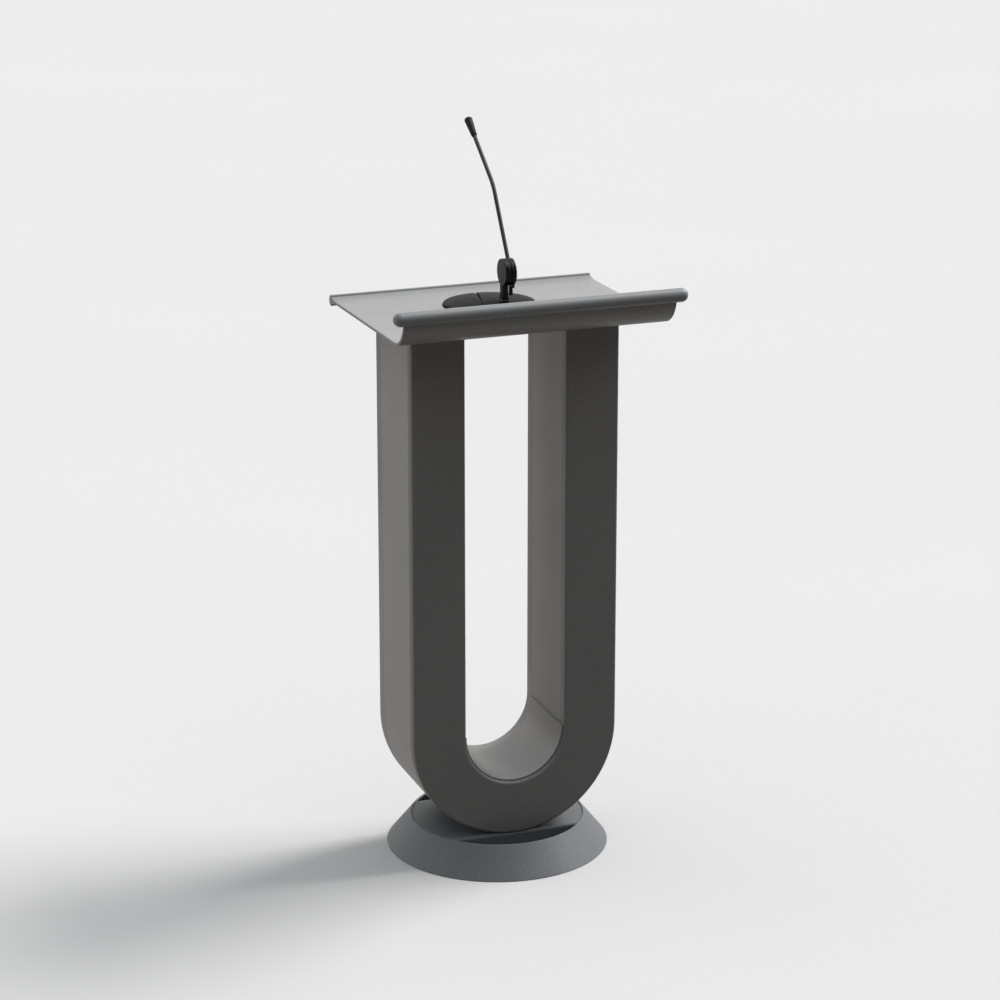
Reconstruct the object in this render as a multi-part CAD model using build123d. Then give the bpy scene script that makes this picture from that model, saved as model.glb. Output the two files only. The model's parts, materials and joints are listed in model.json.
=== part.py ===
from build123d import *
import math
import os

# Lectern stand: U-shaped column on a conical base, tilted desk with a tube rail, gooseneck microphone.
# Millimetres. X is the width, +Y points to the speaker's side, +Z is up, the origin is the middle of the
# base on the floor.

# ---- base ----
BASE_R = 210.0             # radius at the floor
RIM_R = 165.7              # radius at the top rim
RIM_Z = 56.0               # height of the rim
SKIRT_WALL = 4.0
SKIRT_FOOT_Z = 1.0         # the skirt stops just above the floor, the pad carries the load
PAD_R = 200.0
PAD_T = 3.0
WEIGHT_TOP_Z = 28.0        # floor of the two wells beside the bridge
WEIGHT_R = 197.0
DECK_T = 9.0               # thickness of the bridge's deck
DECK_DROP = 0.5            # the deck lies this much under the rim
BRIDGE_WALL = 5.0
BRIDGE_ROUND = 7.0         # rounded long edges of the bridge
BOLT_R = 5.0               # the four bolts between base and column
BOLT_X = 45.0
BOLT_Y = 40.0
BOLT_ABOVE = 22.0          # length of a bolt inside the spine
HEAD_R = 8.5
HEAD_T = 9.0
HEAD_HEX = 4.6             # corner radius of a head's socket
BOLT_HOLE_R = BOLT_R + 0.5
HEAD_HOLE_R = HEAD_R + 1.0
SLEEVE_R = 11.0
CLEAR = 0.3                # gap between neighbours that don't touch

# ---- column ----
COL_R = 200.0              # half width, and radius of the outer bend
GAP_R = 97.5               # half of the gap between the legs, and radius of the inner bend
BEND_Z = 252.0             # centre of both bends
COL_Y = 103.0              # half depth
PANEL_T = 12.0             # front and rear panels
PANEL_ROUND = 5.0
SKIN_T = 3.0               # bent sheets that close the column, flush with the panels
LINER_T = 3.0              # wear plate in the bend, proud of the inner skin
LINER_Y = (-95.0, 72.0)
SPINE_IN = 115.0           # inner and outer faces of the steel spine inside each leg
SPINE_OUT = 182.0
SPINE_Y = 60.0             # half depth of the spine
SPINE_WALL = 4.0
CAP_T = 6.0                # plate on top of each leg, under the desk
CUT_HIGH = 400.0           # size of the blocks that trim the legs' tops

# ---- desk ----
DESK_Z = 1042.9            # height of the writing surface over the origin
DESK_TILT = 1.5            # degrees, the speaker's side is lower
DESK_T = 6.0
DESK_X = 256.5             # half width
DESK_REAR = 168.0          # where the paper stop's profile begins
LIP_START = -178.0         # where the sheet starts to curl up
LIP_R = 60.0               # outer radius of the curled lip
LIP_ANGLE = 84.0
EDGE_ROUND = 2.0
STOP_COVE = 190.0          # where the coves above and below the sheet end
STOP_BACK = 204.6
STOP_TOP = 7.6
STOP_LOW = -13.4
GROMMET_R = 9.0            # rubber bush of the wire hole
WIRE_R = 5.0
SCREW_R = 2.5              # desk screws
SCREW_HEAD_R = 4.5
SCREW_HEAD_T = 3.2
SCREW_GRIP = 4.0           # their depth in the desk's sheet
SCREW_X = (106.5, 189.5)
SCREW_Y = 75.0
TUBE_R = 12.7
TUBE_WALL = 2.0
TUBE_Y = -238.0
TUBE_Z = 52.9
TUBE_X = 259.0             # half length of the tube without its caps
CAP_SPIGOT = 14.0
CAP_NECK = 4.5             # straight part of a cap before its dome

# ---- microphone, on the desk's own axes ----
MIC_Y = 41.0               # centre of the microphone's base
MIC_R = 86.0
MIC_H = 14.0
MIC_EDGE = 4.0             # height of the base's upright rim
MIC_WALL = 2.5
MIC_SHOULDER = 3.0         # rounding between the rim and the crown
MIC_PAD_T = 1.0
MIC_PLATE_T = 2.0
TALK_X = -16.5             # where the split beside the talk plate crosses the base's middle
SPLIT_TURN = 13.9          # the split slants by this angle, seen from above
SPLIT_TAPER = 2.9          # its gap widens at this angle towards the speaker
TAPER_FROM = -27.0         # along the split, from the base's middle
TALK_RECESS = 1.6          # the talk plate lies a little under the housing's crown
TALK_SEAM = 0.6
TALK_INSET = 0.4           # the talk plate's rim lies this much inside the housing's
TALK_TRAVEL = 1.5
TRAY_Z = 1.8               # the housing's low rim under the talk plate
TALK_POST_X = -48.0        # where the spring stands
SPRING_R = 4.0
SPRING_WIRE_R = 0.35
SPRING_TURNS = 3
SWITCH_X = (-66.0, -56.0)
SWITCH_T = 1.4
BOARD_X = (20.0, 56.0)
BOARD_Y = 18.0             # half width
BOARD_T = 1.6
CHIP_X = (28.0, 40.0)
CHIP_Y = 6.0
CHIP_T = 1.4
WIRE_HOLE_R = 12.0         # through the pad and the plate of the base
STEM_X = 15.0
STEM_Y = 2.0
STEM_HALF = (6.1, 7.4)     # half of the post's section in X and Y
STEM_TOP = 22.0
FOOT_OUT = 1.1             # the post's foot stands this much proud of it
FOOT_H = 3.4
HUB_Y = 0.3
HUB_Z = 67.1
HUB_R = 25.0
FIXED_X = (9.5, 20.5)      # the fixed half of the hub
HUB_ROUND = 1.2
TONGUE_Y = 6.75            # half width of the fixed half's tongue
SCREW_ANGLE = 26.0         # of the set screw above the horizontal, on the audience side
SCREW_IN = 4.0             # from the fixed half's outer face
SET_SCREW_R = 1.9
SET_SCREW_L = 8.0
WASHER_T = 0.8
MOVING_X = (21.6, 31.0)    # the half that tilts
PIN_R = 4.0
RUN_FIT = 0.05             # radial clearance of a turning fit
LEVER_T = 2.0              # its boss, on the pin
LEVER_REACH = 44.0
LEVER_Y = 4.2              # half width of the arm
ARM_X = (24.6, 29.6)       # the arm is cranked in under the hub
ARM_GAP = 1.0              # between the hub's rim and the crank
CRANK_T = 4.0
BOSS_R = 11.0
NUT_R = 6.0
NUT_T = 1.4
PIN_PAST = 0.8             # the pin's length past the lever
NECK_X = 27.0
NECK_R = 3.8
NECK_LEAN = 31.6           # degrees from the desk's normal
NECK_LOWER = 170.0         # hub centre to the corner of the bend
NECK_TURN = 21.8
NECK_UPPER = 123.4         # corner of the bend to the capsule
BEND_R = 80.0
BEND_TANGENT = BEND_R * math.tan(math.radians(NECK_TURN / 2))
LINK_GAP = 0.36            # half of the gap between two links of the neck
CAPSULE_L = 45.0
CAPSULE_R = (5.2, 7.9)     # radius at the collar and at the mouth
COLLAR_L = 3.0
GRILLE_L = 17.0
GRILLE_ROUND = 3.2
SLEEVE_WALL = 1.2
ELEMENT_R = 5.3


def saved(part, name):
    """Writes one node."""
    export_step(part, f"parts/{name}.step")


def on_desk(part):
    """Moves a piece from the desk's own axes to the frame."""
    return Location((0, 0, DESK_Z), (-DESK_TILT, 0, 0)) * part


def box(x, y, z):
    """A box from three (low, high) pairs."""
    size = [hi - lo for lo, hi in (x, y, z)]
    mid = [(hi + lo) / 2 for lo, hi in (x, y, z)]
    return Pos(*mid) * Box(*size)


def rod(radius, low, high, x=0.0, y=0.0):
    """An upright cylinder between two heights."""
    return Pos(x, y, (low + high) / 2) * Cylinder(radius, high - low)


def cross_rod(radius, low, high, y=0.0, z=0.0):
    """A cylinder along X."""
    return Pos((low + high) / 2, y, z) * Rot(0, 90, 0) * Cylinder(radius, high - low)


def y_rod(radius, low, high, x=0.0, z=0.0):
    """A cylinder along Y."""
    return Pos(x, (low + high) / 2, z) * Rot(90, 0, 0) * Cylinder(radius, high - low)


def turned(points):
    """A solid turned about Z from (radius, height) points."""
    return revolve(make_face(Plane.XZ * Polyline(*points, close=True)), Axis.Z)


def group(shape, places):
    """Copies of one piece, each its own solid."""
    return Compound(children=[Pos(*place) * shape for place in places])


# ---- base ----

def skirt_radius(z):
    """Outer radius of the skirt at a height."""
    share = (z - SKIRT_FOOT_Z) / (RIM_Z - SKIRT_FOOT_Z)
    return BASE_R + share * (RIM_R - BASE_R)


def base_skirt():
    slope = math.atan2(BASE_R - RIM_R, RIM_Z - SKIRT_FOOT_Z)
    wall = SKIRT_WALL / math.cos(slope)
    shell = turned([
        (BASE_R - wall, SKIRT_FOOT_Z),
        (BASE_R, SKIRT_FOOT_Z),
        (RIM_R, RIM_Z),
        (RIM_R - wall, RIM_Z),
    ])
    rim = shell.edges().filter_by(GeomType.CIRCLE).group_by(Axis.Z)[-1]
    return fillet(rim, SKIRT_WALL * 0.4)


def inside_skirt(low, high):
    """The cone-shaped space inside the skirt between two heights."""
    wall = SKIRT_WALL / math.cos(math.atan2(BASE_R - RIM_R, RIM_Z - SKIRT_FOOT_Z))
    return turned([
        (0, low), (skirt_radius(low) - wall, low), (skirt_radius(high) - wall, high), (0, high),
    ])


def base_bridge():
    top = RIM_Z - DECK_DROP
    band = box((-BASE_R, BASE_R), (-COL_Y, COL_Y), (WEIGHT_TOP_Z, top))
    long_edges = band.edges().filter_by(Axis.X).group_by(Axis.Z)[-1]
    band = fillet(long_edges, BRIDGE_ROUND)
    inner_y = COL_Y - BRIDGE_WALL
    band -= box((-BASE_R, BASE_R), (-inner_y, inner_y), (0, top - DECK_T))
    band = band & inside_skirt(WEIGHT_TOP_Z, top)
    band -= y_rod(COL_R, -COL_Y, COL_Y, z=BEND_Z)
    return band - bolt_row(BOLT_HOLE_R, 0, BEND_Z)


def base_weight():
    slope = (BASE_R - RIM_R) / (RIM_Z - SKIRT_FOOT_Z)
    top_r = WEIGHT_R - slope * (WEIGHT_TOP_Z - PAD_T)
    disc = turned([(0, PAD_T), (WEIGHT_R, PAD_T), (top_r, WEIGHT_TOP_Z), (0, WEIGHT_TOP_Z)])
    disc -= bolt_row(BOLT_HOLE_R, 0, BEND_Z)
    return disc - bolt_row(HEAD_HOLE_R, 0, PAD_T + HEAD_T)


def floor_pad():
    return rod(PAD_R, 0, PAD_T) - bolt_row(HEAD_HOLE_R, 0, PAD_T)


BOLT_PLACES = [(x, y, 0) for x in (-BOLT_X, BOLT_X) for y in (-BOLT_Y, BOLT_Y)]


def bolt_row(radius, low, high):
    """Four upright cylinders on the places of the column's bolts."""
    return Part() + [rod(radius, low, high, x, y) for x, y, _ in BOLT_PLACES]


def bolt_seat_z():
    """Height of the spine's underside over a bolt."""
    return BEND_Z - math.sqrt(SPINE_OUT ** 2 - (BOLT_X + HEAD_R) ** 2)


def column_bolts():
    top = bolt_seat_z() + BOLT_ABOVE
    head = rod(HEAD_R, PAD_T, PAD_T + HEAD_T)
    head -= extrude(Pos(0, 0, PAD_T) * RegularPolygon(HEAD_HEX, 6), HEAD_T / 2)
    return group(head + rod(BOLT_R, PAD_T + HEAD_T, top), BOLT_PLACES)


def bolt_spacers():
    """Sleeves that hold the spine off the outer skin around each bolt."""
    sleeve = rod(SLEEVE_R, 0, BEND_Z) - rod(BOLT_HOLE_R, 0, BEND_Z)
    sleeves = group(sleeve, BOLT_PLACES)
    space = y_rod(COL_R - SKIN_T, -SPINE_Y, SPINE_Y, z=BEND_Z)
    space -= y_rod(SPINE_OUT, -SPINE_Y, SPINE_Y, z=BEND_Z)
    cut = [solid & space for solid in sleeves.solids()]
    return Compound(children=[max(piece.solids(), key=lambda s: -s.center().Z) for piece in cut])


# ---- column ----

def desk_underside(gap=0.0):
    """Everything over the desk's underside, to cut the legs' tops with."""
    wide = (-CUT_HIGH, CUT_HIGH)
    return on_desk(box(wide, wide, (-DESK_T - gap, CUT_HIGH)))


def u_solid(outer, inner, low_y, high_y):
    """The U between two half widths, through a range of Y, up to the desk."""
    def lobe(half):
        legs = box((-half, half), (low_y, high_y), (BEND_Z, DESK_Z + DESK_T))
        return legs + y_rod(half, low_y, high_y, z=BEND_Z)
    return (lobe(outer) - lobe(inner)) - desk_underside()


def column_panel(side):
    """Front (-1) or rear (+1) panel, its face's edges rounded."""
    near, far = COL_Y - PANEL_T, COL_Y
    panel = u_solid(COL_R, GAP_R, *sorted((side * near, side * far)))
    face = panel.faces().filter_by(Axis.Y).sort_by(Axis.Y)[-1 if side > 0 else 0]
    edges = [e for e in face.edges() if e.center().Z < DESK_Z - DESK_T - COL_Y / 5]
    return fillet(edges, PANEL_ROUND)


def outer_skin():
    reach = COL_Y - PANEL_T
    skin = u_solid(COL_R, COL_R - SKIN_T, -reach, reach)
    return skin - bolt_row(BOLT_HOLE_R, 0, BEND_Z)


def inner_skin():
    reach = COL_Y - PANEL_T
    return u_solid(GAP_R + SKIN_T, GAP_R, -reach, reach)


def bend_liner():
    """Half ring on the inner skin that takes the wear in the bend."""
    ring = y_rod(GAP_R, *LINER_Y, z=BEND_Z) - y_rod(GAP_R - LINER_T, *LINER_Y, z=BEND_Z)
    return ring - box((-COL_R, COL_R), (-COL_Y, COL_Y), (BEND_Z, BEND_Z + COL_R))


def spine_bend():
    """Half ring of box section that carries both legs."""
    ring = y_rod(SPINE_OUT, -SPINE_Y, SPINE_Y, z=BEND_Z) - y_rod(SPINE_IN, -SPINE_Y, SPINE_Y, z=BEND_Z)
    hollow_y = SPINE_Y - SPINE_WALL
    hollow = y_rod(SPINE_OUT - SPINE_WALL, -hollow_y, hollow_y, z=BEND_Z)
    hollow -= y_rod(SPINE_IN + SPINE_WALL, -hollow_y, hollow_y, z=BEND_Z)
    ring -= hollow
    ring -= box((-COL_R, COL_R), (-COL_Y, COL_Y), (BEND_Z, BEND_Z + COL_R))
    return ring - bolt_row(BOLT_R, 0, bolt_seat_z() + BOLT_ABOVE + SPINE_WALL)


def spine_leg(side):
    """Upright box section in one leg."""
    x = sorted((side * SPINE_IN, side * SPINE_OUT))
    bore_x = sorted((side * (SPINE_IN + SPINE_WALL), side * (SPINE_OUT - SPINE_WALL)))
    bore_y = SPINE_Y - SPINE_WALL
    tall = (BEND_Z, DESK_Z + DESK_T)
    tube = box(x, (-SPINE_Y, SPINE_Y), tall) - box(bore_x, (-bore_y, bore_y), tall)
    return tube - desk_underside(CAP_T)


def leg_cap(side):
    """Steel plate on top of a leg, which the desk is screwed to."""
    x = sorted((side * (GAP_R + SKIN_T), side * (COL_R - SKIN_T)))
    reach = COL_Y - PANEL_T - CLEAR
    plate = box(x, (-reach, reach), (-DESK_T - CAP_T, -DESK_T))
    plate -= Part() + [rod(SCREW_R + CLEAR, -DESK_T - CAP_T, 0, px, py) for px, py, _ in DESK_SCREWS]
    return on_desk(plate)


DESK_SCREWS = [(sx * x, sy * SCREW_Y, 0) for sx in (-1, 1) for x in SCREW_X for sy in (-1, 1)]


def desk_screws():
    low = -DESK_T - CAP_T
    shank = rod(SCREW_R, low, -DESK_T + SCREW_GRIP)
    head = rod(SCREW_HEAD_R, low - SCREW_HEAD_T, low)
    head -= extrude(Pos(0, 0, low - SCREW_HEAD_T) * RegularPolygon(SCREW_R, 6), SCREW_HEAD_T / 2)
    return on_desk(group(head + shank, DESK_SCREWS))


# ---- desk, on its own axes ----

def desk_tube_space(radius):
    return cross_rod(radius, -TUBE_X, TUBE_X, TUBE_Y, TUBE_Z)


def desk_panel():
    """Writing surface and the lip that curls up from its audience side, bent from one sheet."""
    centre = (LIP_START, LIP_R - DESK_T)
    inner_r = LIP_R - DESK_T

    def at(radius, degrees):
        turn = math.radians(degrees)
        return (centre[0] - radius * math.sin(turn), centre[1] - radius * math.cos(turn))

    outline = (
        Line((DESK_REAR, -DESK_T), (DESK_REAR, 0))
        + Line((DESK_REAR, 0), (LIP_START, 0))
        + ThreePointArc((LIP_START, 0), at(inner_r, LIP_ANGLE / 2), at(inner_r, LIP_ANGLE))
        + Line(at(inner_r, LIP_ANGLE), at(LIP_R, LIP_ANGLE))
        + ThreePointArc(at(LIP_R, LIP_ANGLE), at(LIP_R, LIP_ANGLE / 2), (LIP_START, -DESK_T))
        + Line((LIP_START, -DESK_T), (DESK_REAR, -DESK_T))
    )
    sheet = extrude(Plane.YZ * make_face(outline), DESK_X, both=True)
    sheet -= desk_tube_space(TUBE_R)
    ends = [e for e in sheet.edges() if abs(abs(e.center().X) - DESK_X) < 0.01]
    ends = [e for e in ends if e.center().Y < DESK_REAR - 1 and e.length > DESK_T + 1]
    sheet = fillet(ends, EDGE_ROUND)
    sheet -= Part() + [rod(SCREW_R, -DESK_T, -DESK_T + SCREW_GRIP, x, y) for x, y, _ in DESK_SCREWS]
    sheet -= rod(GROMMET_R, -DESK_T, 0, 0, MIC_Y)
    return on_desk(sheet)


def paper_stop():
    """Edge profile on the speaker's side, with a cove above and below the sheet."""
    cove, middle = STOP_COVE, (DESK_REAR + STOP_COVE) / 2 + 1
    outline = (
        Line((DESK_REAR, -DESK_T), (DESK_REAR, 0))
        + ThreePointArc((DESK_REAR, 0), (middle, 1.1), (cove, 3.8))
        + Line((cove, 3.8), (cove + 1.2, STOP_TOP - 1.1))
        + ThreePointArc((cove + 1.2, STOP_TOP - 1.1), (cove + 4.2, STOP_TOP), (cove + 7.2, STOP_TOP - 1.4))
        + ThreePointArc((cove + 7.2, STOP_TOP - 1.4), (STOP_BACK, -3.2), (cove + 4, STOP_LOW))
        + Line((cove + 4, STOP_LOW), (cove + 1, STOP_LOW + 0.8))
        + Line((cove + 1, STOP_LOW + 0.8), (cove, -9.8))
        + ThreePointArc((cove, -9.8), (middle, -7.1), (DESK_REAR, -DESK_T))
    )
    profile = extrude(Plane.YZ * make_face(outline), DESK_X, both=True)
    return on_desk(profile)


def rail_tube():
    tube = cross_rod(TUBE_R, -TUBE_X, TUBE_X, TUBE_Y, TUBE_Z)
    tube -= cross_rod(TUBE_R - TUBE_WALL, -TUBE_X, TUBE_X, TUBE_Y, TUBE_Z)
    return on_desk(tube)


def rail_cap(side):
    """Domed plug in one end of the tube."""
    end = TUBE_X + CAP_NECK
    cap = cross_rod(TUBE_R, *sorted((side * TUBE_X, side * end)), TUBE_Y, TUBE_Z)
    ball = Pos(side * end, TUBE_Y, TUBE_Z) * Sphere(TUBE_R)
    cap += ball & cross_rod(TUBE_R + 1, *sorted((side * end, side * (end + TUBE_R))), TUBE_Y, TUBE_Z)
    spigot = sorted((side * (TUBE_X - CAP_SPIGOT), side * TUBE_X))
    cap += cross_rod(TUBE_R - TUBE_WALL, *spigot, TUBE_Y, TUBE_Z)
    return on_desk(cap)


def cable_grommet():
    """Rubber bush that lines the wire hole under the microphone."""
    bush = rod(GROMMET_R, -DESK_T, 0, 0, MIC_Y) + rod(GROMMET_R + 3, -DESK_T - 2, -DESK_T, 0, MIC_Y)
    return on_desk(bush - rod(WIRE_R, -DESK_T - 2, 0, 0, MIC_Y))


# ---- microphone base ----

def crown_sphere(radius, height, edge):
    """Radius of the sphere whose cap spans a radius with a rise from edge to height."""
    rise = height - edge
    return (radius ** 2 + rise ** 2) / (2 * rise)


def dome(radius, height, edge, low):
    """Low dome: an upright rim under a shallow round crown."""
    sphere = crown_sphere(radius, height, edge)
    return Pos(0, MIC_Y, 0) * (rod(radius, low, height + 1) & Pos(0, 0, height - sphere) * Sphere(sphere))


def rounded_shoulder(part):
    """Rounds the edge where a dome's crown meets its rim."""
    level = [edge for edge in part.edges() if edge.bounding_box().size.Z < 0.01]
    top = max(level, key=lambda edge: edge.center().Z)
    return fillet(top, MIC_SHOULDER)


def mic_pad():
    return on_desk(rod(MIC_R - MIC_EDGE, 0, MIC_PAD_T, 0, MIC_Y) - rod(WIRE_HOLE_R, 0, MIC_PAD_T, 0, MIC_Y))


def mic_plate():
    low = MIC_PAD_T
    plate = rod(MIC_R - MIC_WALL - MIC_EDGE, low, low + MIC_PLATE_T, 0, MIC_Y)
    plate -= rod(WIRE_HOLE_R, low, low + MIC_PLATE_T, 0, MIC_Y)
    return on_desk(plate)


def beside_split(limits, heights, taper=0.0):
    """Block between two distances from the slanting split, negative on the talk plate's side."""
    split = Pos(TALK_X, MIC_Y, 0) * Rot(0, 0, -SPLIT_TURN)
    return split * Pos(0, TAPER_FROM, 0) * Rot(0, 0, taper) * box(limits, (-200, 200), heights)


def mic_housing():
    """Crown of the base, cut low where the talk plate lies."""
    shell = dome(MIC_R, MIC_H, MIC_EDGE, MIC_PAD_T)
    shell = rounded_shoulder(shell)
    inside = dome(MIC_R - MIC_WALL, MIC_H - MIC_WALL, MIC_EDGE - 1.5, -1)
    shell -= inside
    shell -= beside_split((-200, 0), (TRAY_Z, 60))
    shell -= stem_block(CLEAR / 3, -20, 60)
    wall = beside_split((0, MIC_WALL), (MIC_PAD_T + MIC_PLATE_T, 60)) & inside
    return on_desk(shell + wall)


def talk_plate():
    """Large push plate on the left of the base."""
    height = MIC_H - TALK_RECESS
    low = TRAY_Z + CLEAR + TALK_TRAVEL
    shell = dome(MIC_R - TALK_INSET, height, MIC_EDGE, 0)
    shell = rounded_shoulder(shell)
    shell -= dome(MIC_R - TALK_INSET - MIC_WALL, height - MIC_WALL, MIC_EDGE, -1)
    shell &= beside_split((-200, -TALK_SEAM), (low, 60))
    return on_desk(shell & beside_split((-200, 0), (low, 60), SPLIT_TAPER))


def talk_spring_z():
    """Lower and upper end of the spring under the talk plate."""
    inner_r = MIC_R - TALK_INSET - MIC_WALL
    roof = MIC_H - TALK_RECESS - MIC_WALL
    sphere = crown_sphere(inner_r, roof, MIC_EDGE)
    return MIC_PAD_T + MIC_PLATE_T, roof - sphere + math.sqrt(sphere ** 2 - TALK_POST_X ** 2) - 0.5


def talk_spring():
    low, high = talk_spring_z()
    height = high - low - 2 * SPRING_WIRE_R
    coil = Helix(pitch=height / SPRING_TURNS, height=height, radius=SPRING_R)
    section = Plane(origin=coil @ 0, z_dir=coil % 0) * Circle(SPRING_WIRE_R)
    spring = sweep(section, path=coil, is_frenet=True)
    return on_desk(Pos(TALK_POST_X, MIC_Y, low + SPRING_WIRE_R) * spring)


def talk_switch():
    """Small switch that the talk plate's rib closes."""
    low = MIC_PAD_T + MIC_PLATE_T
    return on_desk(box(SWITCH_X, (MIC_Y - 5, MIC_Y + 5), (low, low + SWITCH_T)))


def mic_board():
    low = MIC_PAD_T + MIC_PLATE_T + 1.0
    top = low + BOARD_T
    board = box(BOARD_X, (MIC_Y - BOARD_Y, MIC_Y + BOARD_Y), (low, top))
    chip = box(CHIP_X, (MIC_Y - CHIP_Y, MIC_Y + CHIP_Y), (top, top + CHIP_T))
    return on_desk(board + chip)


# ---- stem, hub and lever ----

def stem_block(gap, low, high):
    """The post's section, larger by a gap all round, between two heights."""
    half_x, half_y = (half + gap for half in STEM_HALF)
    return box((STEM_X - half_x, STEM_X + half_x), (STEM_Y - half_y, STEM_Y + half_y), (low, high))


def mic_stem():
    """Short square post with a proud foot, standing on the base's plate."""
    foot_z = MIC_H - 1.6
    post = stem_block(0, MIC_PAD_T + MIC_PLATE_T, STEM_TOP)
    foot = stem_block(FOOT_OUT, foot_z, foot_z + FOOT_H)
    foot = chamfer(foot.edges().group_by(Axis.Z)[-1], FOOT_OUT)
    above = dome(MIC_R + 1, MIC_H + 0.2, MIC_EDGE + 0.2, -5)
    return on_desk(post + (foot - above))


def fixed_knuckle():
    """Fixed half of the hub with the tongue that joins it to the stem."""
    low, high = FIXED_X
    disc = cross_rod(HUB_R, low, high, HUB_Y, HUB_Z)
    disc = fillet(disc.edges().filter_by(GeomType.CIRCLE), HUB_ROUND)
    disc += box((low, high), (STEM_Y - TONGUE_Y, STEM_Y + TONGUE_Y), (STEM_TOP, HUB_Z - HUB_R / 2))
    disc -= cross_rod(PIN_R, low + 3, high, HUB_Y, HUB_Z)
    return on_desk(disc - screw_space())


def on_screw(part):
    """Puts a piece made along +Z from the hub's axis on the set screw's line."""
    return Pos(FIXED_X[0] + SCREW_IN, HUB_Y, HUB_Z) * Rot(90 - SCREW_ANGLE, 0, 0) * part


def screw_space():
    """Radial space of the set screw in the fixed half."""
    return on_screw(Pos(0, 0, (HUB_R + PIN_R) / 2 + 2) * Cylinder(SET_SCREW_R, HUB_R - PIN_R))


def set_screw():
    grub = Cylinder(SET_SCREW_R, SET_SCREW_L)
    grub -= Pos(0, 0, SET_SCREW_L / 2 - 1) * extrude(RegularPolygon(1.1, 6), 2)
    return on_desk(on_screw(Pos(0, 0, PIN_R + 9.5) * grub))


def friction_washer():
    low = FIXED_X[1]
    ring = cross_rod(HUB_R - 1.5, low, low + WASHER_T, HUB_Y, HUB_Z)
    return on_desk(ring - cross_rod(PIN_R, low, low + WASHER_T, HUB_Y, HUB_Z))


def neck_line(distance, corner=None):
    """A point on the neck's axis, as (y, z), at a distance from the hub or past the bend."""
    lean = math.radians(NECK_LEAN)
    start = (HUB_Y, HUB_Z)
    if corner:
        start = neck_line(NECK_LOWER)
        lean += math.radians(NECK_TURN)
    return (start[0] + distance * math.sin(lean), start[1] + distance * math.cos(lean))


def moving_knuckle():
    """Half of the hub that tilts; the neck is fixed in a hole in its rim."""
    low, high = MOVING_X
    disc = cross_rod(HUB_R, low, high, HUB_Y, HUB_Z)
    disc = fillet(disc.edges().filter_by(GeomType.CIRCLE), HUB_ROUND)
    disc -= cross_rod(PIN_R + RUN_FIT, low, high, HUB_Y, HUB_Z)
    return on_desk(disc - neck_run(HUB_R / 2, HUB_R + NECK_R))


def pivot_pin():
    low = FIXED_X[0] + 3
    return on_desk(cross_rod(PIN_R, low, pin_end(), HUB_Y, HUB_Z))


def pin_end():
    """X of the pin's end, in the nut."""
    return MOVING_X[1] + CLEAR + LEVER_T + PIN_PAST


def clamp_lever():
    """Lever on the far end of the pin, cranked in under the hub."""
    low = MOVING_X[1] + CLEAR
    high = low + LEVER_T
    side = (HUB_Y - LEVER_Y, HUB_Y + LEVER_Y)
    crank_z = HUB_Z - HUB_R - ARM_GAP
    lever = cross_rod(BOSS_R, low, high, HUB_Y, HUB_Z)
    lever += box((low, high), side, (crank_z - CRANK_T, HUB_Z - BOSS_R / 2))
    lever += box((ARM_X[0], high), side, (crank_z - CRANK_T, crank_z))
    arm = box(ARM_X, side, (HUB_Z - LEVER_REACH, crank_z))
    tip = arm.edges().filter_by(Axis.X).group_by(Axis.Z)[0]
    lever += fillet(tip, LEVER_Y - 0.6)
    return on_desk(lever - cross_rod(PIN_R + RUN_FIT, low, high, HUB_Y, HUB_Z))


def lever_nut():
    """Round nut that keeps the lever on the pin."""
    low = MOVING_X[1] + 2 * CLEAR + LEVER_T
    nut = cross_rod(NUT_R, low, low + NUT_T, HUB_Y, HUB_Z)
    nut = fillet(nut.edges().group_by(Axis.X)[-1], NUT_T / 2)
    return on_desk(nut - cross_rod(PIN_R, low, pin_end(), HUB_Y, HUB_Z))


# ---- neck and capsule ----

def aimed(start, lean_deg, part):
    """Turns a piece from +Z to the neck's direction and puts it at a (y, z) point."""
    return Pos(NECK_X, *start) * Rot(-lean_deg, 0, 0) * part


def neck_run(low, high):
    """Straight round length of the lower neck between two distances from the hub."""
    return aimed(neck_line(low), NECK_LEAN, Pos(0, 0, (high - low) / 2) * Cylinder(NECK_R, high - low))


def link(length, round_low, round_high):
    """A straight length of neck along +Z with rounded ends where it meets the next."""
    low = NECK_R + LINK_GAP if round_low else 0
    high = length - NECK_R - LINK_GAP if round_high else length
    body = Pos(0, 0, (low + high) / 2) * Cylinder(NECK_R, high - low)
    if round_low:
        body += Pos(0, 0, low) * Sphere(NECK_R)
    if round_high:
        body += Pos(0, 0, high) * Sphere(NECK_R)
    return body


def gooseneck_lower():
    start = HUB_R / 2
    length = NECK_LOWER - BEND_TANGENT - start
    return on_desk(aimed(neck_line(start), NECK_LEAN, link(length, False, True)))


def gooseneck_middle():
    """Short link across the bend."""
    low = neck_line(NECK_LOWER - BEND_TANGENT)
    high = neck_line(BEND_TANGENT, corner=True)
    lean = math.degrees(math.atan2(high[0] - low[0], high[1] - low[1]))
    return on_desk(aimed(low, lean, link(math.dist(low, high), True, True)))


def gooseneck_upper():
    start = neck_line(BEND_TANGENT, corner=True)
    length = NECK_UPPER - BEND_TANGENT
    return on_desk(aimed(start, NECK_LEAN + NECK_TURN, link(length, True, False)))


def on_capsule(part):
    """Puts a piece on the end of the neck, along its direction."""
    return on_desk(aimed(neck_line(NECK_UPPER, corner=True), NECK_LEAN + NECK_TURN, part))


def capsule_radius(distance):
    share = distance / CAPSULE_L
    return CAPSULE_R[0] + share * (CAPSULE_R[1] - CAPSULE_R[0])


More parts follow.
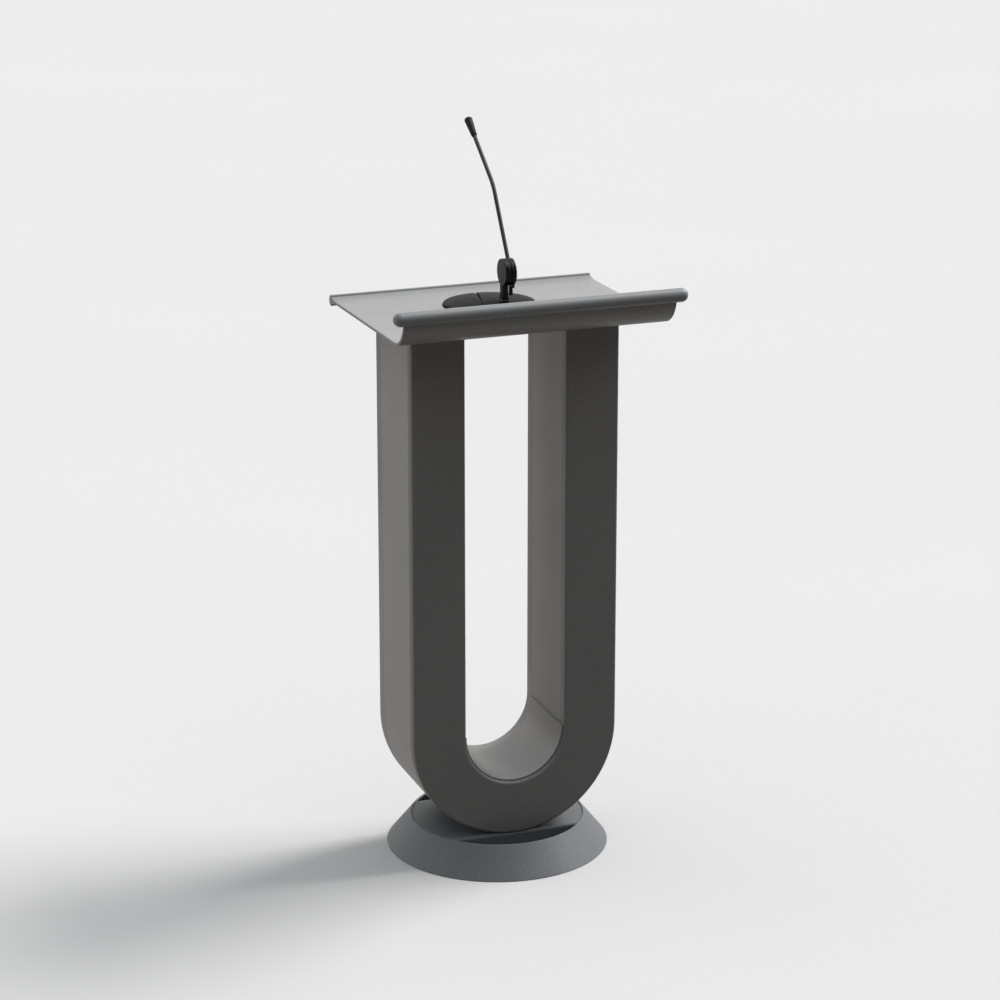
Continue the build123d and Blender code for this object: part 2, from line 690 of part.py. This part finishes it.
def capsule_collar():
    ring = Pos(0, 0, COLLAR_L / 2) * Cylinder(CAPSULE_R[0] - 0.5, COLLAR_L)
    return on_capsule(fillet(ring.edges().group_by(Axis.Z)[0], 0.8))


def capsule_body():
    """Tapered sleeve of the capsule."""
    top = CAPSULE_L - GRILLE_L
    sleeve = turned([
        (0, COLLAR_L), (capsule_radius(COLLAR_L), COLLAR_L), (capsule_radius(top), top),
        (capsule_radius(top) - SLEEVE_WALL, top), (capsule_radius(COLLAR_L) - SLEEVE_WALL, COLLAR_L + 2),
        (0, COLLAR_L + 2),
    ])
    return on_capsule(sleeve)


def capsule_grille():
    """Rounded cap that closes the wide end."""
    low = CAPSULE_L - GRILLE_L
    mouth_r = capsule_radius(CAPSULE_L)
    cup = turned([(0, low), (capsule_radius(low), low), (mouth_r, CAPSULE_L), (0, CAPSULE_L)])
    cup = fillet(cup.edges().group_by(Axis.Z)[-1], GRILLE_ROUND)
    return on_capsule(cup - Pos(0, 0, low + GRILLE_L / 2 - 1) * Cylinder(ELEMENT_R + CLEAR, GRILLE_L - 2))


def capsule_element():
    """Sealed pick-up inside the grille."""
    return on_capsule(Pos(0, 0, CAPSULE_L - GRILLE_L / 2) * Cylinder(ELEMENT_R, GRILLE_L / 3))


NODES = {
    "floor_pad": floor_pad,
    "base_weight": base_weight,
    "base_skirt": base_skirt,
    "base_bridge": base_bridge,
    "column_bolts": column_bolts,
    "bolt_spacers": bolt_spacers,
    "column_front_panel": lambda: column_panel(-1),
    "column_rear_panel": lambda: column_panel(1),
    "column_outer_skin": outer_skin,
    "column_inner_skin": inner_skin,
    "bend_liner": bend_liner,
    "spine_bend": spine_bend,
    "spine_leg_left": lambda: spine_leg(-1),
    "spine_leg_right": lambda: spine_leg(1),
    "leg_cap_left": lambda: leg_cap(-1),
    "leg_cap_right": lambda: leg_cap(1),
    "desk_screws": desk_screws,
    "desk_panel": desk_panel,
    "paper_stop": paper_stop,
    "rail_tube": rail_tube,
    "rail_cap_left": lambda: rail_cap(-1),
    "rail_cap_right": lambda: rail_cap(1),
    "cable_grommet": cable_grommet,
    "mic_base_pad": mic_pad,
    "mic_base_plate": mic_plate,
    "mic_base_housing": mic_housing,
    "talk_plate": talk_plate,
    "talk_spring": talk_spring,
    "talk_switch": talk_switch,
    "mic_circuit_board": mic_board,
    "mic_stem": mic_stem,
    "fixed_knuckle": fixed_knuckle,
    "set_screw": set_screw,
    "friction_washer": friction_washer,
    "pivot_pin": pivot_pin,
    "moving_knuckle": moving_knuckle,
    "clamp_lever": clamp_lever,
    "lever_nut": lever_nut,
    "gooseneck_lower": gooseneck_lower,
    "gooseneck_middle": gooseneck_middle,
    "gooseneck_upper": gooseneck_upper,
    "capsule_collar": capsule_collar,
    "capsule_body": capsule_body,
    "capsule_grille": capsule_grille,
    "capsule_element": capsule_element,
}

os.makedirs("parts", exist_ok=True)
for node, make in NODES.items():
    saved(make(), node)
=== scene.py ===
import json
import math

import bpy
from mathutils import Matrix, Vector


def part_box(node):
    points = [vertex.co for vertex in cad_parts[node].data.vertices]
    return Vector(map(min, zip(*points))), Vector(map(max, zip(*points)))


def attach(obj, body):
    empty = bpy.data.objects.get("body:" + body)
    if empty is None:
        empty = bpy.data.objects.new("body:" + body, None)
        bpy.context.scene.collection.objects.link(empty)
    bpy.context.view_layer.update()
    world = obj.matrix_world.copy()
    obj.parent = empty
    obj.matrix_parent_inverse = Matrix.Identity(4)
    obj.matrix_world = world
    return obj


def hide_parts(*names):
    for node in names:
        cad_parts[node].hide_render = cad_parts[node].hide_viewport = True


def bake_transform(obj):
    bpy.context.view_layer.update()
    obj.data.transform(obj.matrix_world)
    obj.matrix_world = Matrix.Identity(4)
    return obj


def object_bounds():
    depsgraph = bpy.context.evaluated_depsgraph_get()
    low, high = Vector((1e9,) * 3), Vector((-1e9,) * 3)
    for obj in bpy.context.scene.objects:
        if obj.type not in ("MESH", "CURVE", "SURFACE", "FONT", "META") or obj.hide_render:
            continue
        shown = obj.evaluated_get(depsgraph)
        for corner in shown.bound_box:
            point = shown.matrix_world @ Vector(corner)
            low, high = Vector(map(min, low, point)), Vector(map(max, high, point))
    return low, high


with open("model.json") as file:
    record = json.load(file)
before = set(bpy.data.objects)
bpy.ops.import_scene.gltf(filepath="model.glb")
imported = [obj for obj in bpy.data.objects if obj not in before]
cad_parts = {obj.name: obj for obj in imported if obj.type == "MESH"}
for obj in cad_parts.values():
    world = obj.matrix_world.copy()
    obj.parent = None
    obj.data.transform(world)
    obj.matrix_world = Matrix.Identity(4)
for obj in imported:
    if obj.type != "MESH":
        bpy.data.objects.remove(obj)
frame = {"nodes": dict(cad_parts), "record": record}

CAD_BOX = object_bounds()
NODES = frame["nodes"]

# ---- camera, in degrees and metres ----
VIEW_AZIMUTH = 19.93
VIEW_PITCH = 17.4
VIEW_DISTANCE = 6.366
VIEW_LENS = 123.5          # millimetres, on a sensor 36 mm wide
VIEW_SENSOR = 36.0
VIEW_AIM = Vector((0.006, 0.0, 0.677))
FAR = 200.0

# ---- light ----
KEY_ELEVATION = 48.0       # degrees
KEY_SPREAD = 27.0
KEY_TURN = 8.0             # the key stands this far behind the stand's side
KEY_POWER = 4.0
SKY_TURN = (-0.6, 0.2)     # the sky brightens between these shares of the direction's Y
SKY_AROUND = (0.08, 1.25)  # brightness in front and behind, above the horizon
GROUND_AROUND = (0.20, 0.55)
ZENITH_RISE = (0.35, 0.9)  # the sky turns to the zenith's colour between these shares of Z
ZENITH = 0.95
HORIZON_SOFT = 0.06
WALL_TINT = (1.02, 1.0, 0.97)
GROUND_TINT = (1.02, 1.0, 0.96)
ZENITH_TINT = (0.95, 1.0, 1.06)
BACKDROP = 0.84            # what the camera sees past the floor
FLOOR_SIZE = 80.0
FLOOR_GREY = 0.466
FLOOR_DRIFT = 0.01
FLOOR_WARM = 0.012
FLOOR_GAP = 0.0002         # the floor lies this much under the stand

# ---- finishes ----
FLAKE_SCALE = 620.0
FLAKE_SHARE = 0.45
GRAIN_SHARE = 0.35
DRIFT_SHARE = 0.2
PAINT_METALLIC = 0.12
PEEL_SCALE = 420.0
PEEL_DEPTH = 0.0004
PLASTIC_DEPTH = 0.0002
METAL_GRAIN = 600.0
METAL_DEPTH = 0.0001
NOISE_SPAN = (0.3, 0.7)    # the part of a noise's range that is spread out


def camera():
    """Camera aimed at the middle of the column."""
    a, p = math.radians(VIEW_AZIMUTH), math.radians(VIEW_PITCH)
    look = Vector((math.sin(a) * math.cos(p), math.cos(a) * math.cos(p), -math.sin(p)))
    data = bpy.data.cameras.new("camera")
    data.lens = VIEW_LENS
    data.sensor_width = VIEW_SENSOR
    data.clip_end = FAR
    cam = bpy.data.objects.new("camera", data)
    cam.location = VIEW_AIM - look * VIEW_DISTANCE
    cam.rotation_euler = look.to_track_quat("-Z", "Y").to_euler()
    bpy.context.scene.collection.objects.link(cam)
    bpy.context.scene.camera = cam


# ---- node helpers ----

class Graph:
    """Short way to write a node tree."""

    def __init__(self, tree):
        self.tree = tree
        tree.nodes.clear()

    def add(self, kind, inputs=None, **settings):
        node = self.tree.nodes.new(kind)
        for key, value in settings.items():
            setattr(node, key, value)
        for key, value in (inputs or {}).items():
            if isinstance(value, bpy.types.NodeSocket):
                self.tree.links.new(value, node.inputs[key])
            else:
                node.inputs[key].default_value = value
        return node

    def math(self, operation, a, b):
        return self.add("ShaderNodeMath", {0: a, 1: b}, operation=operation).outputs[0]

    def span(self, value, low, high, to_low=0.0, to_high=1.0, smooth=False):
        kind = "SMOOTHSTEP" if smooth else "LINEAR"
        node = self.add("ShaderNodeMapRange", {
            "Value": value, "From Min": low, "From Max": high, "To Min": to_low, "To Max": to_high,
        }, interpolation_type=kind)
        return node.outputs[0]

    def scaled(self, color, factor):
        node = self.add("ShaderNodeVectorMath", {0: color, "Scale": factor}, operation="SCALE")
        return node.outputs[0]

    def noise(self, where, scale, detail=2.0, roughness=0.5):
        node = self.add("ShaderNodeTexNoise", {
            "Vector": where, "Scale": scale, "Detail": detail, "Roughness": roughness,
        })
        return node.outputs["Fac"]

    def mix(self, factor, a, b):
        node = self.add("ShaderNodeMix", data_type="RGBA")
        for socket, value in ((node.inputs[0], factor), (node.inputs[6], a), (node.inputs[7], b)):
            if isinstance(value, bpy.types.NodeSocket):
                self.tree.links.new(value, socket)
            else:
                socket.default_value = value
        return node.outputs[2]


def grey(value, warm=0.0):
    """A grey in linear values, warmer or cooler by a share."""
    return (value * (1 + warm), value, value * (1 - warm), 1.0)


def material(name):
    made = bpy.data.materials.new(name)
    made.use_nodes = True
    return made, Graph(made.node_tree)


def finish_material(graph, shader):
    out = graph.add("ShaderNodeOutputMaterial")
    graph.tree.links.new(shader.outputs[0], out.inputs["Surface"])


def flake_paint(name, dark, light, roughness, specular=0.3, peel=0.08):
    """Satin metallic paint: fine flakes, slow tone drift, a trace of orange peel."""
    made, g = material(name)
    where = g.add("ShaderNodeTexCoord").outputs["Object"]
    cells = g.add("ShaderNodeTexVoronoi", {"Vector": where, "Scale": FLAKE_SCALE}).outputs["Color"]
    flake = g.add("ShaderNodeSeparateColor", {0: cells}).outputs[0]
    grain = g.noise(where, 300.0, 3.0, 0.7)
    drift = g.noise(where, 4.0, 3.0)
    grains = g.span(grain, *NOISE_SPAN, 0.0, GRAIN_SHARE)
    speckle = g.math("ADD", g.math("MULTIPLY", flake, FLAKE_SHARE), grains)
    tone = g.math("ADD", speckle, g.math("MULTIPLY", drift, DRIFT_SHARE))
    color = g.mix(tone, dark, light)
    smudge = g.noise(where, 9.0, 4.0, 0.6)
    rough = g.span(smudge, *NOISE_SPAN, roughness - 0.03, roughness + 0.04)
    skin = g.noise(where, PEEL_SCALE, 2.0)
    bump = g.add("ShaderNodeBump", {"Strength": peel, "Distance": PEEL_DEPTH, "Height": skin})
    shader = g.add("ShaderNodeBsdfPrincipled", {
        "Base Color": color, "Metallic": PAINT_METALLIC, "Roughness": rough, "Normal": bump.outputs[0],
        "Specular IOR Level": specular,
    })
    finish_material(g, shader)
    return made


def plastic(name, dark, light, roughness, grain=2200.0, depth=0.08, specular=0.3):
    """Moulded plastic with a fine texture."""
    made, g = material(name)
    where = g.add("ShaderNodeTexCoord").outputs["Object"]
    color = g.mix(g.noise(where, 14.0, 3.0), dark, light)
    rough = g.span(g.noise(where, 40.0, 3.0), *NOISE_SPAN, roughness - 0.04, roughness + 0.04)
    texture = g.noise(where, grain, 2.0)
    bump = g.add("ShaderNodeBump", {"Strength": depth, "Distance": PLASTIC_DEPTH, "Height": texture})
    shader = g.add("ShaderNodeBsdfPrincipled", {
        "Base Color": color, "Roughness": rough, "Normal": bump.outputs[0],
        "Specular IOR Level": specular,
    })
    finish_material(g, shader)
    return made


def metal(name, dark, light, roughness, metallic=1.0):
    """Plain or plated metal with small variation."""
    made, g = material(name)
    where = g.add("ShaderNodeTexCoord").outputs["Object"]
    color = g.mix(g.noise(where, 60.0, 4.0), dark, light)
    rough = g.span(g.noise(where, METAL_GRAIN, 3.0), *NOISE_SPAN, roughness - 0.05, roughness + 0.06)
    texture = g.noise(where, METAL_GRAIN, 2.0)
    bump = g.add("ShaderNodeBump", {"Strength": 0.05, "Distance": METAL_DEPTH, "Height": texture})
    shader = g.add("ShaderNodeBsdfPrincipled", {
        "Base Color": color, "Metallic": metallic, "Roughness": rough, "Normal": bump.outputs[0],
    })
    finish_material(g, shader)
    return made


MATERIALS = {
    "satin_paint": flake_paint("satin_paint", grey(0.095, -0.05), grey(0.16, -0.05), 0.5, 0.2),
    # panel_paint is painted shade: the column's one satin paint, set darker than skin_paint so the covers'
    # front faces read as turned away from the light
    "panel_paint": flake_paint("panel_paint", grey(0.14, 0.02), grey(0.215, 0.02), 0.42),
    "skin_paint": flake_paint("skin_paint", grey(0.175, 0.01), grey(0.27, 0.01), 0.4),
    "sheet_paint": flake_paint("sheet_paint", grey(0.17, 0.0), grey(0.26, 0.0), 0.4, 0.25),
    "rail_paint": flake_paint("rail_paint", grey(0.15, -0.01), grey(0.23, -0.01), 0.42, 0.25),
    "steel": metal("steel", grey(0.01), grey(0.02), 0.55, 0.3),
    "fastener": metal("fastener", grey(0.18), grey(0.28), 0.4),
    "rubber": plastic("rubber", grey(0.008), grey(0.014), 0.75, 1500.0, 0.2),
    "mic_plastic": plastic("mic_plastic", grey(0.005, -0.08), grey(0.009, -0.08), 0.5, specular=0.035),
    "mic_metal": plastic("mic_metal", grey(0.003, -0.08), grey(0.006, -0.08), 0.4, 3000.0, 0.04, 0.2),
    "neck_finish": metal("neck_finish", grey(0.02, -0.03), grey(0.034, -0.03), 0.42, 0.5),
    "capsule_finish": plastic("capsule_finish", grey(0.012, -0.03), grey(0.022, -0.03), 0.5,
                              2600.0, 0.3, 0.07),
    "dark_trim": plastic("dark_trim", grey(0.004), grey(0.008), 0.5, specular=0.1),
    "circuit": plastic("circuit", (0.01, 0.05, 0.02, 1), (0.015, 0.07, 0.03, 1), 0.4),
}
SLOT_OF = {row["node"]: row["material_slot"] for row in frame["record"]["subparts"]}


def dress_cad_nodes():
    """Every CAD node gets the finish of its slot."""
    for name, obj in NODES.items():
        obj.data.materials.clear()
        obj.data.materials.append(MATERIALS[SLOT_OF[name]])


# ---- mesh helpers ----

def mesh_object(name, verts, faces, material_name, normals=None):
    """A smooth-shaded piece from points and faces, with its own normals if they are given."""
    mesh = bpy.data.meshes.new(name)
    mesh.from_pydata([tuple(v) for v in verts], [], faces)
    mesh.validate()
    mesh.update()
    mesh.shade_smooth()
    if normals is not None:
        mesh.normals_split_custom_set_from_vertices([tuple(n) for n in normals])
    mesh.materials.append(MATERIALS[material_name])
    obj = bpy.data.objects.new(name, mesh)
    bpy.context.scene.collection.objects.link(obj)
    return obj


def stand_for(obj, body, slot, *nodes):
    """Rides a piece on a body in place of CAD nodes."""
    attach(obj, body)
    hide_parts(*nodes)


def ring_faces(rows, count):
    """Quads between rows of points, each row a closed ring, and a face on each end."""
    faces = []
    for r in range(rows - 1):
        for c in range(count):
            d = (c + 1) % count
            faces.append((r * count + c, r * count + d, (r + 1) * count + d, (r + 1) * count + c))
    faces.append(tuple(reversed(range(count))))
    faces.append(tuple(range((rows - 1) * count, rows * count)))
    return faces


# ---- column: closed sections swept along the U ----
LEG_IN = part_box("bend_liner")[1].x                  # half of the gap between the legs
LEG_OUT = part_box("column_outer_skin")[1].x
MID_R = (LEG_IN + LEG_OUT) / 2
HALF_LEG = (LEG_OUT - LEG_IN) / 2
HALF_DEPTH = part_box("column_rear_panel")[1].y
BEND_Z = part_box("column_outer_skin")[0].z + LEG_OUT
DESK_TILT = 1.5                                     # degrees
DESK_SLOPE = math.tan(math.radians(DESK_TILT))
TOP_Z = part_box("column_front_panel")[1].z - DESK_SLOPE * HALF_DEPTH
BEND_STEPS = 72
LEG_STEPS = 14
ROUND = 0.005                                       # rounding of the panels' edges
ROUND_STEPS = 5


def u_stations():
    """(kind, share) along the U: down the left leg, round the bend, up the right leg."""
    left = [("left", 1 - i / LEG_STEPS) for i in range(LEG_STEPS)]
    bend = [("bend", i / BEND_STEPS) for i in range(BEND_STEPS + 1)]
    right = [("right", (i + 1) / LEG_STEPS) for i in range(LEG_STEPS)]
    return left + bend + right


def u_point(station, w, y):
    """A point of the section, w outwards from the leg's middle, and the outward direction there."""
    kind, share = station
    if kind == "bend":
        turn = math.pi * share
        out = Vector((-math.cos(turn), 0.0, -math.sin(turn)))
        return Vector((0.0, y, BEND_Z)) + out * (MID_R + w), out
    side = -1 if kind == "left" else 1
    top = TOP_Z - DESK_SLOPE * y
    out = Vector((side, 0.0, 0.0))
    return Vector((side * (MID_R + w), y, BEND_Z + share * (top - BEND_Z))), out


def swept(name, section, material_name):
    """Sweeps a closed section of (w, y, normal angle) along the U. The angle turns from +w to +y."""
    verts, normals = [], []
    stations = u_stations()
    for station in stations:
        rows = section(station)
        for w, y, angle in rows:
            point, out = u_point(station, w, y)
            verts.append(point)
            turn = math.radians(angle)
            normals.append(out * math.cos(turn) + Vector((0, 1, 0)) * math.sin(turn))
    return mesh_object(name, verts, ring_faces(len(stations), len(rows)), material_name, normals)


def height_of(station):
    kind, share = station
    if kind == "bend":
        return BEND_Z - MID_R * math.sin(math.pi * share)
    return BEND_Z + share * (TOP_Z - BEND_Z)


FRONT_REACH = 0.080        # the covers' returned edges end at this |y|
REAR_REACH = 0.072
COVER_T = 0.012
FLANGE_T = 0.003
LEAN_START = 0.002         # a flange's lean grows over these lengths from its end
LEAN_MOST = 0.007
LEAN_SHARE = 0.65          # share of the lean reached at the second length


def cover_section(side, lean_out, lean_in, reach):
    """Section of a cover: a panel with rounded edges and thin returned flanges. side is -1 front, +1 rear.
    The lean, in degrees, turns only the shading normals of the flanges' flat faces towards the panel."""
    face = HALF_DEPTH

    def section(station):
        out_lean, in_lean = lean_out(station), lean_in(station)
        rows = []

        def add(w, depth, angle):
            rows.append((w, side * depth, side * angle))

        def flange(sign, lean):
            """Side surface from the flange's end to the face's edge: outer (+1) or inner (-1)."""
            base = 0.0 if sign > 0 else 180.0
            turn = 1 if sign > 0 else -1
            made = [(sign * HALF_LEG, reach, base)]
            made.append((sign * HALF_LEG, reach + LEAN_START, base))
            made.append((sign * HALF_LEG, reach + LEAN_MOST, base + turn * lean * LEAN_SHARE))
            made.append((sign * HALF_LEG, face - ROUND, base + turn * lean))
            for i in range(1, ROUND_STEPS + 1):
                share = i / ROUND_STEPS
                a = math.radians(90 * share)
                made.append((sign * (HALF_LEG - ROUND + ROUND * math.cos(a)),
                             face - ROUND + ROUND * math.sin(a),
                             base + turn * (lean + (90 - lean) * share)))
            made.append((sign * (HALF_LEG - ROUND * 2), face, 90.0))
            return made

        for w, depth, angle in flange(1, out_lean):
            add(w, depth, angle)
        for w, depth, angle in reversed(flange(-1, in_lean)):
            add(w, depth, angle)
        add(-HALF_LEG + FLANGE_T, reach, -90.0)
        add(-HALF_LEG + FLANGE_T, face - COVER_T, -45.0)
        add(HALF_LEG - FLANGE_T, face - COVER_T, -135.0)
        add(HALF_LEG - FLANGE_T, reach, -90.0)
        return rows if side > 0 else list(reversed(rows))

    return section


def skin_section(sign):
    """Section of the outer (+1) or inner (-1) bent sheet between the covers' flanges."""
    angle = 0.0 if sign > 0 else 180.0

    def section(_station):
        low, high = -FRONT_REACH, REAR_REACH
        rows = [(sign * HALF_LEG, low, angle), (sign * HALF_LEG, (low + high) / 2, angle),
                (sign * HALF_LEG, high, angle), (sign * (HALF_LEG - FLANGE_T), high, angle + 180),
                (sign * (HALF_LEG - FLANGE_T), low, angle + 180)]
        return rows if sign > 0 else list(reversed(rows))

    return section


EDGE_LEAN = 17.0           # lean of the covers' shading normals beside the rounding, in degrees
LEG_LEAN = 3.0             # the same on the rear cover's inner edge along the legs
LEAN_FADE = (0.56, 0.72)   # heights between which the outer rear edge's lean fades out
TOP_SHARP = 0.07           # the front edge is sharp for this length under the desk


def fade(value, low, high):
    share = min(max((value - low) / (high - low), 0.0), 1.0)
    return share * share * (3 - 2 * share)


def column():
    """The four shells of the column."""
    def front_out(station):
        return EDGE_LEAN * (1 - fade(height_of(station), TOP_Z - TOP_SHARP, TOP_Z))

    def rear_out(station):
        return EDGE_LEAN * (1 - fade(height_of(station), *LEAN_FADE))

    def bend_only(station):
        return EDGE_LEAN if station[0] == "bend" else LEG_LEAN

    def none(_station):
        return 0.0

    # the covers get panel_paint, the darker copy of the satin paint that stands in for shade on the front
    # face
    front = swept("column_front_cover", cover_section(-1, front_out, none, FRONT_REACH), "panel_paint")
    stand_for(front, "stand", "panel_paint", "column_front_panel")
    rear = swept("column_rear_cover", cover_section(1, rear_out, bend_only, REAR_REACH), "panel_paint")
    stand_for(rear, "stand", "panel_paint", "column_rear_panel")
    outer = swept("column_outer_sheet", skin_section(1), "skin_paint")
    stand_for(outer, "stand", "skin_paint", "column_outer_skin")
    inner = swept("column_inner_sheet", skin_section(-1), "skin_paint")
    stand_for(inner, "stand", "skin_paint", "column_inner_skin")


# ---- microphone ----
JOINTS = {row["name"]: row for row in frame["record"]["behaviour"]["joints"]}
HINGE_LOW = Vector(JOINTS["neck_pitch"]["pos_m"])
HINGE_HIGH = Vector(JOINTS["neck_sway"]["pos_m"])
HUB = Vector(JOINTS["mic_tilt"]["pos_m"])
SWAY_AXIS = JOINTS["neck_sway"]["axis"]
UPPER = Vector((0.0, -SWAY_AXIS[2], SWAY_AXIS[1]))   # direction of the neck above its bend
NECK_R = (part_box("gooseneck_lower")[1].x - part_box("gooseneck_lower")[0].x) / 2
HOSE_PITCH = 0.0017
HOSE_GROOVE = 0.00035
HOSE_SIDES = 20
HOSE_PER_TURN = 5
HOSE_START = 0.0125        # the hose begins this far from the hub's axis
HOSE_REACH = 0.012         # a bending stretch of hose reaches this far past its hinge
HOSE_BLEND = 0.9           # share of that reach; the points worked out from it are not used


def neck_path():
    """Centre line of the neck as (point, direction) by distance: straight, a bend, straight."""
    lower = (HINGE_LOW - HUB).normalized()
    turn = lower.angle(UPPER)
    chord = (HINGE_HIGH - HINGE_LOW).length
    radius = chord / (2 * math.sin(turn / 2))
    arc = radius * turn
    low_len = (HINGE_LOW - HUB).length
    high_len = (capsule_foot() - HINGE_HIGH).length
    side = (UPPER - lower * UPPER.dot(lower)).normalized()

    def at(distance):
        if distance < low_len:
            return HUB + lower * distance, lower
        if distance < low_len + arc:
            t = (distance - low_len) / radius
            point = HINGE_LOW + lower * radius * math.sin(t) + side * radius * (1 - math.cos(t))
            return point, lower * math.cos(t) + side * math.sin(t)
        return HINGE_HIGH + UPPER * (distance - low_len - arc), UPPER

    return at, low_len, low_len + arc, low_len + arc + high_len


def capsule_foot():
    """Where the neck meets the capsule's collar."""
    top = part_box("gooseneck_upper")[1].z
    reach = (top - NECK_R * UPPER.y - HINGE_HIGH.z) / UPPER.z
    return HINGE_HIGH + UPPER * reach


def hose(name, at, start, end):
    """A stretch of spiral-wound hose between two distances along the neck."""
    steps = max(2, round((end - start) / HOSE_PITCH * HOSE_PER_TURN))
    verts = []
    up = Vector((1.0, 0.0, 0.0))
    for i in range(steps + 1):
        distance = start + (end - start) * i / steps
        point, direction = at(distance)
        across = direction.cross(up)
        for k in range(HOSE_SIDES):
            turn = 2 * math.pi * k / HOSE_SIDES
            wave = math.cos(2 * math.pi * distance / HOSE_PITCH - turn)
            radius = NECK_R - HOSE_GROOVE * (0.5 - 0.5 * wave) ** 3
            verts.append(point + (up * math.cos(turn) + across * math.sin(turn)) * radius)
    faces = ring_faces(steps + 1, HOSE_SIDES)
    return mesh_object(name, verts, [tuple(reversed(f)) for f in faces], "neck_finish")


def bending_hose(name, at, start, end, hinge):
    """A stretch of hose curved along the neck over the hinge between two bodies; it is baked in place and
    rides on neither body.
    """
    piece = hose(name, at, start, end)
    half = HOSE_REACH * HOSE_BLEND
    tuple(at(hinge - half)[0])
    tuple(at(hinge + half)[0])
    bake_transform(piece)
    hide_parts("gooseneck_middle")


def neck():
    """The gooseneck: two straight stretches, each riding on a body, and two curved stretches over the
    hinges, fixed in place.
    """
    at, first, second, end = neck_path()
    middle = (first + second) / 2
    low_end, high_end = first - HOSE_REACH, second + HOSE_REACH
    lower = hose("neck_hose_lower", at, HOSE_START, low_end)
    stand_for(lower, "neck_base", "neck_finish", "gooseneck_lower")
    bending_hose("neck_hose_bend_a", at, low_end, middle, first)
    bending_hose("neck_hose_bend_b", at, middle, high_end, second)
    upper = hose("neck_hose_upper", at, high_end, end)
    stand_for(upper, "neck_end", "neck_finish", "gooseneck_upper")


# ---- floor and light ----

def floor():
    """Pale floor that fills the view. It catches the shadow and doesn't light the object from below."""
    half = FLOOR_SIZE / 2
    mesh = bpy.data.meshes.new("floor")
    corners = [(-half, -half, 0), (half, -half, 0), (half, half, 0), (-half, half, 0)]
    mesh.from_pydata(corners, [], [(0, 1, 2, 3)])
    obj = bpy.data.objects.new("floor", mesh)
    obj.location.z = CAD_BOX[0].z - FLOOR_GAP
    made, g = material("floor")
    where = g.add("ShaderNodeTexCoord").outputs["Object"]
    dark, light = grey(FLOOR_GREY - FLOOR_DRIFT, FLOOR_WARM), grey(FLOOR_GREY + FLOOR_DRIFT, FLOOR_WARM)
    color = g.mix(g.noise(where, 0.7, 2.0), dark, light)
    finish_material(g, g.add("ShaderNodeBsdfDiffuse", {"Color": color}))
    mesh.materials.append(made)
    bpy.context.scene.collection.objects.link(obj)
    obj.visible_glossy = False
    obj.visible_diffuse = False


def key_light():
    """Soft key from the right of the stand."""
    data = bpy.data.lights.new("key", "SUN")
    data.energy = KEY_POWER
    data.angle = math.radians(KEY_SPREAD)
    lamp = bpy.data.objects.new("key", data)
    e = math.radians(KEY_ELEVATION)
    turn = math.radians(KEY_TURN)
    towards = Vector((math.cos(e) * math.cos(turn), math.cos(e) * math.sin(turn), math.sin(e)))
    lamp.rotation_euler = towards.to_track_quat("Z", "Y").to_euler()
    bpy.context.scene.collection.objects.link(lamp)


def studio():
    """Soft light by direction: bright behind and beside the stand, dim on the audience's side and below."""
    world = bpy.data.worlds.new("studio")
    world.use_nodes = True
    bpy.context.scene.world = world
    g = Graph(world.node_tree)
    towards = g.add("ShaderNodeTexCoord").outputs["Generated"]
    split = g.add("ShaderNodeSeparateXYZ", {0: towards})
    y, z = split.outputs[1], split.outputs[2]
    around = g.span(y, *SKY_TURN, *SKY_AROUND, smooth=True)
    below = g.span(y, *SKY_TURN, *GROUND_AROUND, smooth=True)
    zenith = g.span(z, *ZENITH_RISE, smooth=True)
    horizon = g.span(z, -HORIZON_SOFT, HORIZON_SOFT, smooth=True)
    walls = g.scaled(WALL_TINT, around)
    above = g.mix(zenith, walls, (*(ZENITH * part for part in ZENITH_TINT), 1.0))
    color = g.mix(horizon, g.scaled(GROUND_TINT, below), above)
    light = g.add("ShaderNodeBackground", {"Color": color, "Strength": 1.0})
    plain = g.add("ShaderNodeBackground", {"Color": grey(BACKDROP), "Strength": 1.0})
    seen = g.add("ShaderNodeLightPath").outputs["Is Camera Ray"]
    mixed = g.add("ShaderNodeMixShader", {0: seen, 1: light.outputs[0], 2: plain.outputs[0]})
    out = g.add("ShaderNodeOutputWorld")
    g.tree.links.new(mixed.outputs[0], out.inputs["Surface"])


bpy.context.scene.view_settings.view_transform = "Standard"
camera()
dress_cad_nodes()
column()
neck()
floor()
key_light()
studio()
